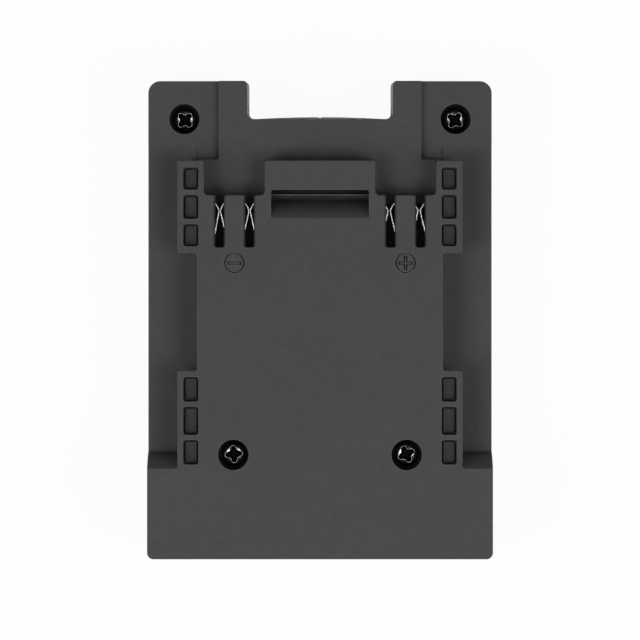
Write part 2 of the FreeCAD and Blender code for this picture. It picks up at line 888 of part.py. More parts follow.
def cross_recess(x, y, head_z, size, bar, depth, turn):
    """The cross-shaped recess of a screw head, tapering to its bottom."""
    low_size = size / 2 * screw_recess_taper
    low_bar = bar / 2 * screw_recess_taper
    arms = []
    for angle in (0.0, 90.0):
        low = rounded_rectangle(-low_size, low_size, -low_bar, low_bar, 0)
        high = rounded_rectangle(-size / 2, size / 2, -bar / 2, bar / 2, 0)
        arm = loft(low, head_z - depth, high, head_z)
        arm.rotate(Vector(0, 0, 0), Vector(0, 0, 1), angle + turn)
        arms.append(arm)
    recess = arms[0].fuse(arms[1])
    recess.translate(Vector(x, y, 0))
    return recess


def case_screw(x, y, head_z, turn):
    """A pan-head case screw with a cross recess."""
    seat_z = head_z - screw_head_height
    head = cylinder(x, y, screw_head_radius, seat_z, head_z)
    head = round_level_edges(head, head_z, screw_head_round)
    shank = cylinder(x, y, screw_shank_radius, seat_z - screw_shank_length, seat_z)
    recess = cross_recess(x, y, head_z, screw_recess_length, screw_recess_width, screw_recess_depth, turn)
    return head.fuse(shank).cut(recess)


def case_screws(x, y, head_z, turns):
    """A left and a right screw in one row."""
    left = case_screw(-x, y, head_z, turns[0])
    right = case_screw(x, y, head_z, turns[1])
    return Part.makeCompound([left, right])


def board_screws():
    """The four small screws that hold the board on its posts."""
    screws = []
    for y in (upper_post_y, lower_post_y):
        for x in (-post_x, post_x):
            head_z = board_top_z + board_screw_head_height
            head = cylinder(x, y, board_screw_head_radius, board_top_z, head_z)
            shank = cylinder(x, y, board_screw_radius, board_top_z - board_screw_length, board_top_z)
            recess = cross_recess(
                x, y, head_z, board_recess_length, board_recess_width, board_recess_depth, board_recess_turn
            )
            screws.append(head.fuse(shank).cut(recess))
    return Part.makeCompound(screws)


def contact_base(x, spread):
    """The folded seat of one contact: a plate on the board and two posts at the roots of the leaves."""
    half = leaf_thickness / 2
    x0 = x - spread[0] - half
    x1 = x + spread[1] + half
    plate_end_y = leaf_root_y + base_plate_ahead
    plate = box(x0, x1, base_back_y, plate_end_y, board_top_z, board_top_z + base_plate)
    posts = []
    for middle in (x - spread[0], x + spread[1]):
        posts.append(box(middle - half, middle + half, base_back_y, base_front_y, board_top_z, leaf_top_z))
    return plate.multiFuse(posts)


def contact_leaf(x, side, root_half, pinch_half, tip_half):
    """One spring leaf: from a rolled root it runs in to the pinch and flares out again at the tip."""
    centre_line = [
        (root_half, leaf_root_y),
        (root_half, leaf_root_y + leaf_straight),
        (pinch_half, leaf_tip_y - leaf_flare),
        (tip_half, leaf_tip_y),
    ]
    half = leaf_thickness / 2
    inner = [(x + side * (offset - half), y, 0) for offset, y in centre_line]
    outer = [(x + side * (offset + half), y, 0) for offset, y in reversed(centre_line)]
    bead = cylinder(x + side * root_half, leaf_root_y, leaf_bead_radius, leaf_bottom_z, leaf_top_z)
    return prism(inner + outer, leaf_bottom_z, leaf_top_z).fuse(bead)


def board_fuse():
    """The flat fuse next to the plus strap."""
    size_x, size_y, size_z = fuse_size
    y0 = board_bottom_y + strap_on_board + component_gap
    top_z = board_top_z + size_z
    body = box(blade_x - size_x / 2, blade_x + size_x / 2, y0, y0 + size_y, board_top_z, top_z)
    return round_level_edges(body, top_z, component_round)


def board_transistor():
    """The protection switch next to the minus strap, with its cooling tab."""
    size_x, size_y, size_z = transistor_size
    y0 = board_bottom_y + strap_on_board + component_gap
    y1 = y0 + size_y
    top_z = board_top_z + size_z
    x0 = -blade_x - size_x / 2
    x1 = x0 + size_x
    case = box(x0, x1, y0, y1, board_top_z + transistor_lift, top_z)
    case = round_level_edges(case, top_z, component_round)
    margin = transistor_tab_margin
    tab_z = board_top_z + transistor_tab_thickness
    tab = box(x0 + margin, x1 - margin, y0 + margin, y1 + transistor_tab, board_top_z, tab_z)
    return case.fuse(tab)


def board_capacitor():
    """The upright round capacitor."""
    y = board_bottom_y + strap_on_board + capacitor_from_strap
    top_z = roof_z - capacitor_top_gap
    return round_level_edges(cylinder(0, y, capacitor_radius, board_top_z, top_z), top_z, component_round)


def contact_nodes():
    """Seats and leaves of the four contacts, by node name."""
    places = {
        "minus_outer": (-outer_contact_x, minus_outer_spread),
        "minus_inner": (-inner_contact_x, minus_inner_spread),
        "plus_inner": (inner_contact_x + plus_contact_shift, plus_inner_spread),
        "plus_outer": (outer_contact_x + plus_contact_shift, plus_outer_spread),
    }
    nodes = {}
    for name, (x, spread) in places.items():
        left_root, right_root, pinch_half, tip_half = spread
        nodes[name + "_base"] = contact_base(x, spread)
        nodes[name + "_leaf_left"] = contact_leaf(x, -1, left_root, pinch_half, tip_half)
        nodes[name + "_leaf_right"] = contact_leaf(x, 1, right_root, pinch_half, tip_half)
    return nodes


def all_nodes():
    """Every sub-part, by node name."""
    nodes = {
        "front_shell": front_shell(),
        "rear_shell": rear_shell(),
        "upper_case_screws": case_screws(upper_screw_x, upper_screw_y, upper_head_z, upper_screw_turns),
        "lower_case_screws": case_screws(lower_screw_x, lower_screw_y, lower_head_z, lower_screw_turns),
        "circuit_board": circuit_board(),
        "board_screws": board_screws(),
        "board_fuse": board_fuse(),
        "board_transistor": board_transistor(),
        "board_capacitor": board_capacitor(),
        "minus_strap": strap(-blade_x),
        "plus_strap": strap(blade_x),
        "blade_holder": blade_holder(),
        "minus_blade": blade(-blade_x, blade_top_z, blade_reach, True),
        "plus_blade": blade(blade_x, blade_top_z, blade_reach, True),
        "sense_blades": Part.makeCompound([
            blade(-sense_x, sense_blade_top_z, sense_blade_reach, False),
            blade(sense_x, sense_blade_top_z, sense_blade_reach, False),
        ]),
    }
    nodes.update(contact_nodes())
    return nodes


def main():
    """Write one file per sub-part."""
    os.makedirs("parts", exist_ok=True)
    for name, shape in all_nodes().items():
        shape.exportStep(os.path.join("parts", name + ".step"))
        print(name, "solids", len(shape.Solids), "valid", shape.isValid(), "volume", round(shape.Volume, 1))


main()
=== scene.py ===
import json
import math

import bmesh
import bpy
from mathutils import Matrix, Vector


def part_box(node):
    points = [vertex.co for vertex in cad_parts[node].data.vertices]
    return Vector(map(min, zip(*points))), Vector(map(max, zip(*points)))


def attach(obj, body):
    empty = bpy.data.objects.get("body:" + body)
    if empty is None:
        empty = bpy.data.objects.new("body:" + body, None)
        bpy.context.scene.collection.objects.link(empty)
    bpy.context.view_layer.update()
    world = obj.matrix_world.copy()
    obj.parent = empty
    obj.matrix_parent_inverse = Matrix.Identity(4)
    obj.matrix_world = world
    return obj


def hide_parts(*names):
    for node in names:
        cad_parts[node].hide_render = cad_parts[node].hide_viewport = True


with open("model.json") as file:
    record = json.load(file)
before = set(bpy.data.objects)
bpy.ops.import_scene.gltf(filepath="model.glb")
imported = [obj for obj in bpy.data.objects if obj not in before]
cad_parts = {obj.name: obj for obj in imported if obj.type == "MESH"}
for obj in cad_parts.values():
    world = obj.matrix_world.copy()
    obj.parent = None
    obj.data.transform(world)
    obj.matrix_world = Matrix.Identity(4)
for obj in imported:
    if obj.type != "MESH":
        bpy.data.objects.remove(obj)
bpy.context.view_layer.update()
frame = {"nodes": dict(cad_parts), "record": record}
nodes = frame["nodes"]

MM = 0.001

# Camera: straight above the plateau, at the photograph's distance
PLATEAU_Z = 25.0 * MM
CAMERA_HEIGHT = 1.0
CAMERA_Y = -0.155 * MM
CAMERA_LENS = 243.3
CAMERA_SENSOR = 36.0
CAMERA_REACH = 20.0

# Lamps: name, place, width and length, power and colour. Each faces the origin.
LAMPS = [
    ("left", (-0.86, -0.38, 1.1), (0.8, 0.9), 10.5, (1.0, 0.99, 0.98)),
    ("right", (0.86, -0.38, 1.1), (0.8, 0.9), 10.5, (0.98, 0.99, 1.0)),
    ("front", (0.0, -1.3, 0.7), (0.8, 0.8), 3.0, (1.0, 1.0, 1.0)),
    ("top", (0.0, 0.03, 2.0), (0.3, 0.3), 1.0, (1.0, 1.0, 1.0)),
]

# The lamp that glossy faces don't mirror, so that metal turned towards it stays dim
UNMIRRORED_LAMP = "front"

# World: its light on the object
WORLD_LIGHT = 0.05
WHITE = (1.0, 1.0, 1.0, 1.0)

# Floor just below the object: its shade and share of glow where it is seen, and its shade for other rays
FLOOR_Z = -0.05 * MM
FLOOR_HALF = 6.0
FLOOR_SHADE = 0.95
FLOOR_GLOW = 0.95
FLOOR_BOUNCE = 0.45

# Dark sheet above the lamps
CEILING_Z = 2.4
CEILING_HALF_X = 1.6
CEILING_HALF_Y = 5.0
CEILING_COLOUR = (0.05, 0.05, 0.05, 1.0)

# Noise textures: the range that most of their values lie in, and the strength of the bumps made from them
NOISE_LOW = 0.25
NOISE_HIGH = 0.75
BUMP_STRENGTH = 0.4

# Moulded plastic: the noises that change its shade, by features per metre, detail, roughness and change
SHADES = [(45.0, 3.0, 0.5, 0.045), (430.0, 4.0, 0.6, 0.085), (2600.0, 3.0, 0.6, 0.14)]
SPECK_SCALE = 1500.0
SPECK_STOPS = [(0.72, 0.0), (0.78, 0.6)]
SPECK_LEVEL = 2.3
# Patches along the lighter edges, partly worn plastic and partly painted highlight: noise scale and least
# share
WEAR_AND_HIGHLIGHT_SCALE = 420.0
WEAR_AND_HIGHLIGHT_LEAST = 0.35
GLOSS_SCALE = 700.0
GRAIN_SCALE = 2200.0
GRAIN_DEPTH = 0.02 * MM
PLASTIC_IOR = 1.46
PLASTIC_SPECULAR = 0.3
GLOSS_SPREAD = 0.06

# Lighter edges, partly worn plastic and partly a painted highlight for the light that edges catch: how far
# they reach, and the dot product of the flat and the rounded normal where they are full and where they end
EDGE_REACH = 0.35 * MM
EDGE_FULL = 0.80
EDGE_END = 0.985

# Upright walls: their roughness, and the height of the normal at which they are full and end
WALL_POLISH = 0.3
WALL_FULL = 0.15
WALL_END = 0.35

# Painted sheen on the ledge of the rear shell in the notch, a pale smooth colour standing in for the light
# it catches: its colour and roughness, and the middle and half size of the box round it
SHEEN_PAINT_COLOUR = (0.56, 0.56, 0.565)
SHEEN_PAINT_ROUGHNESS = 0.12
SHEEN_PAINT_BOX = ((0.0, 51.0 * MM, 12.0 * MM), (17.4 * MM, 5.0 * MM, 0.1 * MM))

# Worked metal: drawn lines along Y, and stains
LINE_STRETCH = (1.0, 0.06, 1.0)
LINE_SCALE = 6000.0
LINE_DEPTH = 0.006 * MM
STAIN_SCALE = 380.0
STAIN_LIMITS = (0.82, 1.06)

# Coated surfaces: depth of their bumps
COAT_DEPTH = 0.008 * MM

# Finishes of the material slots, in linear colours. The worn steel is for the recesses of the case screws.
# Plastics: colour, how much lighter the edges are (partly worn, partly a painted highlight), roughness, and
# a box of painted sheen
PLASTICS = {
    "shell_plastic": dict(colour=(0.06, 0.06, 0.0635), wear_and_highlight_level=2.2, roughness=0.62),
    # The rear shell carries a box of painted sheen on its ledge in the notch
    "rear_plastic": dict(colour=(0.068, 0.068, 0.071), wear_and_highlight_level=1.7, roughness=0.58, sheen_paint_box=SHEEN_PAINT_BOX),
    "holder_plastic": dict(colour=(0.03, 0.03, 0.032), wear_and_highlight_level=1.5, roughness=0.5),
}
METALS = {
    # Black oxide steel of the case screws, made darker than the real finish: partly its own colour, partly
    # painted shade for the deep wells they sit in
    "screw_steel": dict(
        colour=(0.0018, 0.0018, 0.002), roughness=0.5, brushed=0.06, metallic=0.0, specular=0.2
    ),
    "worn_steel": dict(colour=(0.32, 0.315, 0.31), roughness=0.21, brushed=0.05),
    "small_screw_steel": dict(colour=(0.62, 0.62, 0.6), roughness=0.3, brushed=0.06),
    "contact_metal": dict(colour=(0.86, 0.86, 0.855), roughness=0.26, brushed=0.06),
    "strap_metal": dict(colour=(0.75, 0.38, 0.22), roughness=0.3, brushed=0.08),
    "blade_metal": dict(colour=(0.7, 0.66, 0.58), roughness=0.3, brushed=0.08),
    "capacitor_can": dict(colour=(0.75, 0.76, 0.78), roughness=0.25, brushed=0.05),
}
COATINGS = {
    "board_laminate": dict(colour=(0.01, 0.01, 0.011), roughness=0.7, scale=300.0, spread=0.12),
    "fuse_body": dict(colour=(0.7, 0.67, 0.58), roughness=0.4, scale=500.0, spread=0.08),
    "transistor_case": dict(colour=(0.02, 0.02, 0.02), roughness=0.45, scale=900.0, spread=0.15),
}

# Case screws: the pan head and the shank
SCREW_HEAD_RADIUS = 2.8 * MM
SCREW_HEAD_HEIGHT = 2.2 * MM
SCREW_HEAD_ROUND = 0.5 * MM
SCREW_ROUND_STEPS = 6
SCREW_SHANK_RADIUS = 1.45 * MM
SCREW_STEPS = 64

# Cross recess: how far its arms reach and how far in it is drawn between them, at the top and at the bottom
RECESS_DEPTH = 1.4 * MM
RECESS_REACH = 1.98 * MM
RECESS_WAIST = 1.2 * MM
RECESS_LOW_REACH = 1.25 * MM
RECESS_LOW_WAIST = 0.6 * MM
RECESS_ROUNDING = 0.06
RECESS_STEPS = 96

# Worn rim: a nearly level ledge round the recess, which mirrors the top lamp
RIM_GROWTH = 0.1 * MM
RIM_DEPTH = 0.0005 * MM

# Worn lip: the shallow cone that is cut away between the arms
LIP_RADIUS = 1.8 * MM
LIP_LOW_RADIUS = 1.2 * MM
LIP_DEPTH = 0.2 * MM
LIP_STEPS = 48

# How far the cutters stand above the head, and the height of the normal above which worn faces are bright
CUT_ABOVE = 0.2 * MM
FACING_UP = 0.6

# Turns of the left and the right case screw, in degrees
SCREW_TURNS = {
    "upper_case_screws": (45.0, 52.0),
    "lower_case_screws": (6.0, 26.0),
}

# Contact leaves, each in the place of its CAD leaf
LEAF_THICKNESS = 0.31 * MM
LEAF_FLARE = 1.6 * MM
LEAF_FLARE_POWER = 1.25
LEAF_FLARE_STEPS = 10
LEAF_STRAIGHT = 1.6 * MM
LEAF_STRAIGHT_POINT = 0.6
LEAF_STEPS = 24
LEAF_EASE = 0.14
LEAF_BEAD = 0.3 * MM
LEAF_EDGE = 0.05 * MM
LEAF_TOP_TURNS = (0, 30, 60, 90)

# Contacts, in millimetres: the middle, and its distance to the left and right root, the pinch and the tip
CONTACTS = {
    "minus_outer": (-23.26, 1.6, 2.15, 0.165, 0.92),
    "minus_inner": (-16.32, 1.9, 1.9, 0.165, 0.92),
    "plus_inner": (16.01, 2.2, 2.2, 0.27, 1.15),
    "plus_outer": (22.95, 2.2, 2.2, 0.27, 1.15),
}

# Edges that turn by less than this, in degrees, are shaded smooth
SMOOTH_ANGLE = 30


def emptied_tree(owner):
    """The node tree of a material or a world, with nothing in it."""
    owner.use_nodes = True
    owner.node_tree.nodes.clear()
    return owner.node_tree


def material_tree(name):
    """A new material with a shader, its output and the place on the object."""
    material = bpy.data.materials.new(name)
    tree = emptied_tree(material)
    output = tree.nodes.new("ShaderNodeOutputMaterial")
    shader = tree.nodes.new("ShaderNodeBsdfPrincipled")
    tree.links.new(shader.outputs["BSDF"], output.inputs["Surface"])
    place = tree.nodes.new("ShaderNodeTexCoord").outputs["Object"]
    return material, tree, shader, place


def math_node(tree, operation, *values):
    """The result of a sum on values that are numbers or sockets."""
    node = tree.nodes.new("ShaderNodeMath")
    node.operation = operation
    for socket, value in zip(node.inputs, values):
        if isinstance(value, float):
            socket.default_value = value
        else:
            tree.links.new(value, socket)
    return node.outputs[0]


def map_range(tree, value, low, high, to_low, to_high):
    """A value moved from one range to another, and held inside it."""
    node = tree.nodes.new("ShaderNodeMapRange")
    node.inputs["From Min"].default_value = low
    node.inputs["From Max"].default_value = high
    node.inputs["To Min"].default_value = to_low
    node.inputs["To Max"].default_value = to_high
    tree.links.new(value, node.inputs["Value"])
    return node.outputs["Result"]


def noise(tree, place, scale, detail, roughness=0.5):
    """The value of a noise texture of some scale, in features per metre."""
    texture = tree.nodes.new("ShaderNodeTexNoise")
    texture.inputs["Scale"].default_value = scale
    texture.inputs["Detail"].default_value = detail
    texture.inputs["Roughness"].default_value = roughness
    tree.links.new(place, texture.inputs["Vector"])
    return texture.outputs["Fac"]


def mapped(tree, value, low, high):
    """A noise value spread over a range."""
    return map_range(tree, value, NOISE_LOW, NOISE_HIGH, low, high)


def gloss_noise(tree, place, scale, roughness):
    """A roughness that changes a little from place to place."""
    return mapped(tree, noise(tree, place, scale, 3.0), roughness - GLOSS_SPREAD, roughness + GLOSS_SPREAD)


def ramp(tree, value, stops):
    """A value mapped through two grey stops given as (position, level)."""
    node = tree.nodes.new("ShaderNodeValToRGB")
    for element, (position, level) in zip(node.color_ramp.elements, stops):
        element.position = position
        element.color = (level, level, level, 1.0)
    tree.links.new(value, node.inputs["Fac"])
    return node.outputs["Color"]


def scaled_colour(tree, colour, factor):
    """A colour, fixed or from a socket, times a value."""
    node = tree.nodes.new("ShaderNodeVectorMath")
    node.operation = "SCALE"
    if isinstance(colour, tuple):
        node.inputs[0].default_value = colour
    else:
        tree.links.new(colour, node.inputs[0])
    tree.links.new(factor, node.inputs["Scale"])
    return node.outputs["Vector"]


def mixed_colour(tree, factor, first, second):
    """A mix of a socket's colour and a fixed one."""
    node = tree.nodes.new("ShaderNodeMix")
    node.data_type = "RGBA"
    tree.links.new(factor, node.inputs["Factor"])
    tree.links.new(first, node.inputs[6])
    node.inputs[7].default_value = (*second, 1.0)
    return node.outputs[2]


def add_bump(tree, shader, height, distance):
    """A bump on the shader, from a height value."""
    node = tree.nodes.new("ShaderNodeBump")
    node.inputs["Distance"].default_value = distance
    node.inputs["Strength"].default_value = BUMP_STRENGTH
    tree.links.new(height, node.inputs["Height"])
    tree.links.new(node.outputs["Normal"], shader.inputs["Normal"])


def edge_mask(tree):
    """A value that rises from 0 to 1 near edges."""
    bevel = tree.nodes.new("ShaderNodeBevel")
    bevel.samples = 6
    bevel.inputs["Radius"].default_value = EDGE_REACH
    geometry = tree.nodes.new("ShaderNodeNewGeometry")
    dot = tree.nodes.new("ShaderNodeVectorMath")
    dot.operation = "DOT_PRODUCT"
    tree.links.new(bevel.outputs["Normal"], dot.inputs[0])
    tree.links.new(geometry.outputs["Normal"], dot.inputs[1])
    return map_range(tree, dot.outputs["Value"], EDGE_END, EDGE_FULL, 0.0, 1.0)


def wall_share(tree):
    """1 on upright faces, 0 on level ones."""
    geometry = tree.nodes.new("ShaderNodeNewGeometry")
    split = tree.nodes.new("ShaderNodeSeparateXYZ")
    tree.links.new(geometry.outputs["Normal"], split.inputs["Vector"])
    height = math_node(tree, "ABSOLUTE", split.outputs["Z"])
    return map_range(tree, height, WALL_END, WALL_FULL, 0.0, 1.0)


def inside_box(tree, place, centre, half_size):
    """1 inside a box, 0 outside it."""
    position = tree.nodes.new("ShaderNodeSeparateXYZ")
    tree.links.new(place, position.inputs["Vector"])
    near_x, near_y, near_z = [
        math_node(tree, "COMPARE", position.outputs[axis], middle, half)
        for axis, middle, half in zip("XYZ", centre, half_size)
    ]
    return math_node(tree, "MULTIPLY", math_node(tree, "MULTIPLY", near_x, near_y), near_z)


def moulded_plastic(name, colour, wear_and_highlight_level, roughness, sheen_paint_box=None):
    """Dull moulded plastic with a fine grain, soft mottling, light specks, smoother walls, and edges made
    lighter partly as worn plastic and partly as a painted highlight.

    Inside a sheen box, if there is one, it is pale and smooth: a painted sheen.
    """
    material, tree, shader, place = material_tree(name)
    base = colour
    for scale, detail, unevenness, share in SHADES:
        shade = mapped(tree, noise(tree, place, scale, detail, unevenness), 1 - share, 1 + share)
        base = scaled_colour(tree, base, shade)
    specks = ramp(tree, noise(tree, place, SPECK_SCALE, 2.0), SPECK_STOPS)
    base = mixed_colour(tree, specks, base, tuple(channel * SPECK_LEVEL for channel in colour))
    # Edges made lighter, partly as worn plastic and partly as a painted highlight, broken up by a noise
    wear_and_highlight_patches = mapped(tree, noise(tree, place, WEAR_AND_HIGHLIGHT_SCALE, 3.0), WEAR_AND_HIGHLIGHT_LEAST, 1.0)
    rubbed_and_highlit = math_node(tree, "MULTIPLY", edge_mask(tree), wear_and_highlight_patches)
    base = mixed_colour(tree, rubbed_and_highlit, base, tuple(channel * wear_and_highlight_level for channel in colour))
    dull = gloss_noise(tree, place, GLOSS_SCALE, roughness)
    gloss = math_node(tree, "MULTIPLY_ADD", wall_share(tree), WALL_POLISH - roughness, dull)
    # A box of painted sheen: the ledge in the notch is made pale and smooth to stand in for the light it
    # catches
    if sheen_paint_box is not None:
        ledge = inside_box(tree, place, *sheen_paint_box)
        base = mixed_colour(tree, ledge, base, SHEEN_PAINT_COLOUR)
        gloss = mixed_colour(tree, ledge, gloss, (SHEEN_PAINT_ROUGHNESS,) * 3)
    tree.links.new(base, shader.inputs["Base Color"])
    tree.links.new(gloss, shader.inputs["Roughness"])
    add_bump(tree, shader, noise(tree, place, GRAIN_SCALE, 4.0, 0.65), GRAIN_DEPTH)
    shader.inputs["IOR"].default_value = PLASTIC_IOR
    shader.inputs["Specular IOR Level"].default_value = PLASTIC_SPECULAR
    return material


def worked_metal(name, colour, roughness, brushed, metallic=1.0, specular=0.5):
    """Metal with fine drawn lines along Y, soft stains and a varying gloss."""
    material, tree, shader, place = material_tree(name)
    stretch = tree.nodes.new("ShaderNodeMapping")
    stretch.inputs["Scale"].default_value = LINE_STRETCH
    tree.links.new(place, stretch.inputs["Vector"])
    lines = noise(tree, stretch.outputs["Vector"], LINE_SCALE, 3.0, 0.6)
    stains = mapped(tree, noise(tree, place, STAIN_SCALE, 4.0, 0.6), *STAIN_LIMITS)
    gloss = mapped(tree, lines, roughness - brushed, roughness + brushed)
    tree.links.new(scaled_colour(tree, colour, stains), shader.inputs["Base Color"])
    tree.links.new(gloss, shader.inputs["Roughness"])
    shader.inputs["Metallic"].default_value = metallic
    shader.inputs["Specular IOR Level"].default_value = specular
    add_bump(tree, shader, lines, LINE_DEPTH)
    return material


def coated_surface(name, colour, roughness, scale, spread):
    """A painted or moulded surface with small changes of shade and gloss."""
    material, tree, shader, place = material_tree(name)
    shade = mapped(tree, noise(tree, place, scale, 4.0, 0.6), 1 - spread, 1 + spread)
    tree.links.new(scaled_colour(tree, colour, shade), shader.inputs["Base Color"])
    tree.links.new(gloss_noise(tree, place, scale * 3, roughness), shader.inputs["Roughness"])
    add_bump(tree, shader, noise(tree, place, scale * 4, 3.0), COAT_DEPTH)
    return material


def link_mesh(name, mesh):
    """A new object in the scene for a mesh."""
    made = bpy.data.objects.new(name, mesh)
    bpy.context.scene.collection.objects.link(made)
    return made


def link_body(name, made):
    """A new object in the scene for a bmesh, which is freed."""
    mesh = bpy.data.meshes.new(name)
    made.to_mesh(mesh)
    made.free()
    return link_mesh(name, mesh)


def baked_modifiers(source, name):
    """A mesh with an object's modifiers applied, and the object removed."""
    bpy.context.view_layer.update()
    evaluated = source.evaluated_get(bpy.context.evaluated_depsgraph_get())
    mesh = bpy.data.meshes.new_from_object(evaluated)
    mesh.name = name
    old = source.data
    bpy.data.objects.remove(source)
    bpy.data.meshes.remove(old)
    return mesh


def shade_by_angle(target, degrees):
    """Smooth shading across edges flatter than an angle."""
    mesh = target.data
    for face in mesh.polygons:
        face.use_smooth = True
    made = bmesh.new()
    made.from_mesh(mesh)
    for edge in made.edges:
        if len(edge.link_faces) == 2:
            edge.smooth = edge.calc_face_angle(0.0) < math.radians(degrees)
    made.to_mesh(mesh)
    made.free()


def turned_body(profile, steps):
    """A closed mesh made by turning (radius, height) points round Z, the first and last on the axis."""
    made = bmesh.new()
    rings = []
    for radius, height in profile:
        if radius == 0:
            rings.append([made.verts.new((0, 0, height))])
            continue
        ring = []
        for step in range(steps):
            angle = 2 * math.pi * step / steps
            ring.append(made.verts.new((radius * math.cos(angle), radius * math.sin(angle), height)))
        rings.append(ring)
    for low, high in zip(rings, rings[1:]):
        for step in range(steps):
            after = (step + 1) % steps
            if len(low) == 1:
                made.faces.new((low[0], high[after], high[step]))
            elif len(high) == 1:
                made.faces.new((low[step], low[after], high[0]))
            else:
                made.faces.new((low[step], low[after], high[after], high[step]))
    bmesh.ops.recalc_face_normals(made, faces=made.faces)
    return made


def lofted_body(sections):
    """A closed mesh through outlines of equally many points, given as (points, height)."""
    made = bmesh.new()
    rings = [[made.verts.new((x, y, height)) for x, y in points] for points, height in sections]
    made.faces.new(rings[0][::-1])
    made.faces.new(rings[-1])
    for low, high in zip(rings, rings[1:]):
        for step in range(len(low)):
            after = (step + 1) % len(low)
            made.faces.new((low[step], low[after], high[after], high[step]))
    bmesh.ops.recalc_face_normals(made, faces=made.faces)
    return made


def cut_away(target, tool):
    """Take one solid out of another."""
    modifier = target.modifiers.new("cut", "BOOLEAN")
    modifier.operation = "DIFFERENCE"
    modifier.solver = "EXACT"
    modifier.object = tool


def recess_outline(reach, waist, growth=0.0):
    """Points round a cross recess: four round arms out to its reach, drawn in to its waist between them."""
    middle = (reach + waist) / 2 + growth
    swing = (reach - waist) / 2
    points = []
    for step in range(RECESS_STEPS):
        angle = 2 * math.pi * step / RECESS_STEPS
        wave = (1 + RECESS_ROUNDING) * math.cos(4 * angle) - RECESS_ROUNDING * math.cos(12 * angle)
        radius = middle + swing * wave
        points.append((radius * math.cos(angle), radius * math.sin(angle)))
    return points


def screw_profile(length):
    """Half outline of a pan-head screw with its shank down, from the tip to the head's top."""
    end = -SCREW_HEAD_HEIGHT - length
    points = [
        (0, end),
        (SCREW_SHANK_RADIUS * 0.5, end),
        (SCREW_SHANK_RADIUS, end + SCREW_SHANK_RADIUS),
        (SCREW_SHANK_RADIUS, -SCREW_HEAD_HEIGHT),
        (SCREW_HEAD_RADIUS, -SCREW_HEAD_HEIGHT),
    ]
    for step in range(SCREW_ROUND_STEPS + 1):
        angle = math.pi / 2 * step / SCREW_ROUND_STEPS
        points.append((
            SCREW_HEAD_RADIUS - SCREW_HEAD_ROUND + SCREW_HEAD_ROUND * math.cos(angle),
            -SCREW_HEAD_ROUND + SCREW_HEAD_ROUND * math.sin(angle)
        ))
    points.append((0, 0))
    return points


def screw_mesh(length):
    """A pan-head screw with a cross recess, its head's top at the origin and its shank down."""
    screw = link_body("screw_blank", turned_body(screw_profile(length), SCREW_STEPS))
    cross = lofted_body([
        (recess_outline(RECESS_LOW_REACH, RECESS_LOW_WAIST), -RECESS_DEPTH),
        (recess_outline(RECESS_REACH, RECESS_WAIST), -LIP_DEPTH - RIM_DEPTH),
        (recess_outline(RECESS_REACH, RECESS_WAIST, RIM_GROWTH), -LIP_DEPTH),
        (recess_outline(RECESS_REACH, RECESS_WAIST, RIM_GROWTH), CUT_ABOVE),
    ])
    slope = (LIP_RADIUS - LIP_LOW_RADIUS) / LIP_DEPTH
    lip = turned_body([
        (0, -LIP_DEPTH),
        (LIP_LOW_RADIUS, -LIP_DEPTH),
        (LIP_RADIUS + slope * CUT_ABOVE, CUT_ABOVE),
        (0, CUT_ABOVE),
    ], LIP_STEPS)
    tools = [link_body("cross_cutter", cross), link_body("lip_cutter", lip)]
    for tool in tools:
        cut_away(screw, tool)
    screw.data.materials.append(materials["screw_steel"])
    screw.data.materials.append(materials["worn_steel"])
    mesh = baked_modifiers(screw, "case_screw")
    for tool in tools:
        bpy.data.objects.remove(tool)
    return mesh


def mark_recess_faces(mesh):
    """Give the worn rim of the recess and the sloping faces between its arms the bright steel."""
    for face in mesh.polygons:
        x, y, z = face.center
        near = math.hypot(x, y) < RECESS_REACH + RIM_GROWTH
        if face.normal.z > FACING_UP and -LIP_DEPTH - RIM_DEPTH < z < -RIM_DEPTH and near:
            face.material_index = 1


def detailed_screws(node, turns):
    """Two finished screws in the place of a pair of CAD screws."""
    low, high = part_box(node)
    length = high[2] - low[2] - SCREW_HEAD_HEIGHT
    middle_y = (low[1] + high[1]) / 2
    x = high[0] - SCREW_HEAD_RADIUS
    for side, sign, turn in (("left", -1, turns[0]), ("right", 1, turns[1])):
        mesh = screw_mesh(length)
        mark_recess_faces(mesh)
        mesh.transform(Matrix.Rotation(math.radians(turn), 4, "Z"))
        mesh.transform(Matrix.Translation((sign * x, middle_y, high[2])))
        screw = link_mesh(f"{node[:5]}_case_screw_{side}", mesh)
        shade_by_angle(screw, SMOOTH_ANGLE)
        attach(screw, "housing")
        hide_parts(node)


def leaf_line(root_y, tip_y, root_half, pinch_half, tip_half):
    """Points along a leaf from its root to its flared tip, as (distance from the contact's middle, y)."""
    straight_y = root_y + LEAF_STRAIGHT
    pinch_y = tip_y - LEAF_FLARE
    points = [(root_half, root_y), (root_half, root_y + LEAF_STRAIGHT * LEAF_STRAIGHT_POINT)]
    for step in range(LEAF_STEPS + 1):
        share = step / LEAF_STEPS
        y = straight_y + (pinch_y - straight_y) * share
        eased = share * (1 - LEAF_EASE) + LEAF_EASE * (3 * share ** 2 - 2 * share ** 3)
        points.append((root_half + (pinch_half - root_half) * eased, y))
    for step in range(1, LEAF_FLARE_STEPS + 1):
        share = step / LEAF_FLARE_STEPS
        y = pinch_y + LEAF_FLARE * share
        points.append((pinch_half + (tip_half - pinch_half) * share ** LEAF_FLARE_POWER, y))
    return points


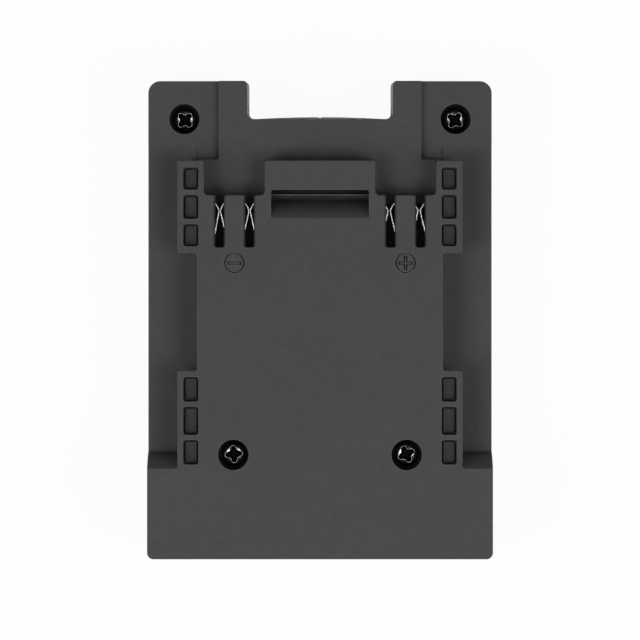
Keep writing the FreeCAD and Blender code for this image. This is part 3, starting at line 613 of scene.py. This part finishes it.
def contact_leaf(node, side, middle, root_half, pinch_half, tip_half):
    """A thin curved spring leaf in the place of a CAD leaf."""
    low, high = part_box(node)
    offsets = leaf_line(low[1] + LEAF_BEAD, high[1], root_half, pinch_half, tip_half)
    line = [(middle + side * offset, y) for offset, y in offsets]
    normals = []
    for index in range(len(line)):
        before = Vector(line[max(index - 1, 0)])
        after = Vector(line[min(index + 1, len(line) - 1)])
        along = (after - before).normalized()
        normals.append(Vector((-along.y, along.x)))
    half = LEAF_THICKNESS / 2
    levels = [low[2], low[2] + LEAF_EDGE]
    insets = [LEAF_EDGE, 0.0]
    for turn in LEAF_TOP_TURNS:
        levels.append(high[2] - LEAF_EDGE * (1 - math.sin(math.radians(turn))))
        insets.append(LEAF_EDGE * (1 - math.cos(math.radians(turn))))
    count = len(levels)
    made = bmesh.new()
    rings = []
    for point, normal in zip(line, normals):
        ring = []
        for sign, order in ((1, range(count)), (-1, range(count - 1, -1, -1))):
            for index in order:
                offset = normal * sign * (half - insets[index])
                ring.append(made.verts.new((point[0] + offset.x, point[1] + offset.y, levels[index])))
        rings.append(ring)
    made.faces.new(rings[0])
    made.faces.new(rings[-1][::-1])
    for ring, after in zip(rings, rings[1:]):
        for index in range(2 * count):
            following = (index + 1) % (2 * count)
            made.faces.new((ring[index], ring[following], after[following], after[index]))
    bmesh.ops.recalc_face_normals(made, faces=made.faces)
    leaf = link_body(node.replace("_leaf_", "_spring_"), made)
    leaf.data.materials.append(materials["contact_metal"])
    shade_by_angle(leaf, SMOOTH_ANGLE)
    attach(leaf, node)
    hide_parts(node)


def soft_light(name, place, size, power, colour):
    """A rectangular area light that faces the origin, with its size across and along."""
    light = bpy.data.lights.new(name, "AREA")
    light.shape = "RECTANGLE"
    light.size, light.size_y = size
    light.energy = power
    light.color = colour
    made = bpy.data.objects.new(name, light)
    bpy.context.scene.collection.objects.link(made)
    made.location = place
    made.rotation_euler = (Vector((0, 0, 0)) - Vector(place)).to_track_quat("-Z", "Y").to_euler()
    return made


def direct_ray(tree):
    """1 for camera, glossy and transmission rays, 0 for the rest."""
    path = tree.nodes.new("ShaderNodeLightPath")
    seen = path.outputs["Is Camera Ray"]
    for name in ("Is Glossy Ray", "Is Transmission Ray"):
        seen = math_node(tree, "MAXIMUM", seen, path.outputs[name])
    return seen


def level_sheet(name, half_x, half_y, z):
    """A level rectangle round the Z axis."""
    made = bmesh.new()
    corners = [(-half_x, -half_y), (half_x, -half_y), (half_x, half_y), (-half_x, half_y)]
    made.faces.new([made.verts.new((x, y, z)) for x, y in corners])
    return link_body(name, made)


def pale_floor():
    """A pale floor that takes the object's shadow, reads white and throws a share of its light back."""
    floor = level_sheet("floor", FLOOR_HALF, FLOOR_HALF, FLOOR_Z)
    material = bpy.data.materials.new("floor")
    tree = emptied_tree(material)
    seen = direct_ray(tree)
    diffuse = tree.nodes.new("ShaderNodeBsdfDiffuse")
    tree.links.new(map_range(tree, seen, 0.0, 1.0, FLOOR_BOUNCE, FLOOR_SHADE), diffuse.inputs["Color"])
    emission = tree.nodes.new("ShaderNodeEmission")
    emission.inputs["Color"].default_value = WHITE
    emission.inputs["Strength"].default_value = 1.0
    mix = tree.nodes.new("ShaderNodeMixShader")
    tree.links.new(math_node(tree, "MULTIPLY", seen, FLOOR_GLOW), mix.inputs["Fac"])
    tree.links.new(diffuse.outputs[0], mix.inputs[1])
    tree.links.new(emission.outputs[0], mix.inputs[2])
    output = tree.nodes.new("ShaderNodeOutputMaterial")
    tree.links.new(mix.outputs[0], output.inputs["Surface"])
    floor.data.materials.append(material)


def dark_ceiling():
    """A dark sheet high above, which keeps the white surroundings out of what level faces mirror."""
    ceiling = level_sheet("ceiling", CEILING_HALF_X, CEILING_HALF_Y, CEILING_Z)
    material = bpy.data.materials.new("ceiling")
    material.use_nodes = True
    material.node_tree.nodes["Principled BSDF"].inputs["Base Color"].default_value = CEILING_COLOUR
    ceiling.data.materials.append(material)


def studio():
    """A world that looks white and lights the object softly."""
    world = bpy.data.worlds.new("studio")
    bpy.context.scene.world = world
    tree = emptied_tree(world)
    background = tree.nodes.new("ShaderNodeBackground")
    background.inputs["Color"].default_value = WHITE
    strength = map_range(tree, direct_ray(tree), 0.0, 1.0, WORLD_LIGHT, 1.0)
    tree.links.new(strength, background.inputs["Strength"])
    output = tree.nodes.new("ShaderNodeOutputWorld")
    tree.links.new(background.outputs[0], output.inputs["Surface"])


bpy.context.scene.view_settings.view_transform = "Standard"

camera = bpy.data.cameras.new("camera")
camera.lens = CAMERA_LENS
camera.sensor_width = CAMERA_SENSOR
camera.clip_end = CAMERA_REACH
camera_object = bpy.data.objects.new("camera", camera)
bpy.context.scene.collection.objects.link(camera_object)
camera_object.location = (0.0, CAMERA_Y, PLATEAU_Z + CAMERA_HEIGHT)
bpy.context.scene.camera = camera_object

studio()
for lamp_name, *settings in LAMPS:
    lamp = soft_light(lamp_name, *settings)
    lamp.visible_glossy = lamp_name != UNMIRRORED_LAMP
pale_floor()
dark_ceiling()

materials = {}
for make, finishes in ((moulded_plastic, PLASTICS), (worked_metal, METALS), (coated_surface, COATINGS)):
    for slot, finish in finishes.items():
        materials[slot] = make(slot, **finish)

for row in frame["record"]["subparts"]:
    cad_mesh = nodes[row["node"]].data
    cad_mesh.materials.clear()
    cad_mesh.materials.append(materials[row["material_slot"]])

for pair, pair_turns in SCREW_TURNS.items():
    detailed_screws(pair, pair_turns)
for contact, sizes in CONTACTS.items():
    middle, left_root, right_root, pinch_half, tip_half = [size * MM for size in sizes]
    contact_leaf(contact + "_leaf_left", -1, middle, left_root, pinch_half, tip_half)
    contact_leaf(contact + "_leaf_right", 1, middle, right_root, pinch_half, tip_half)
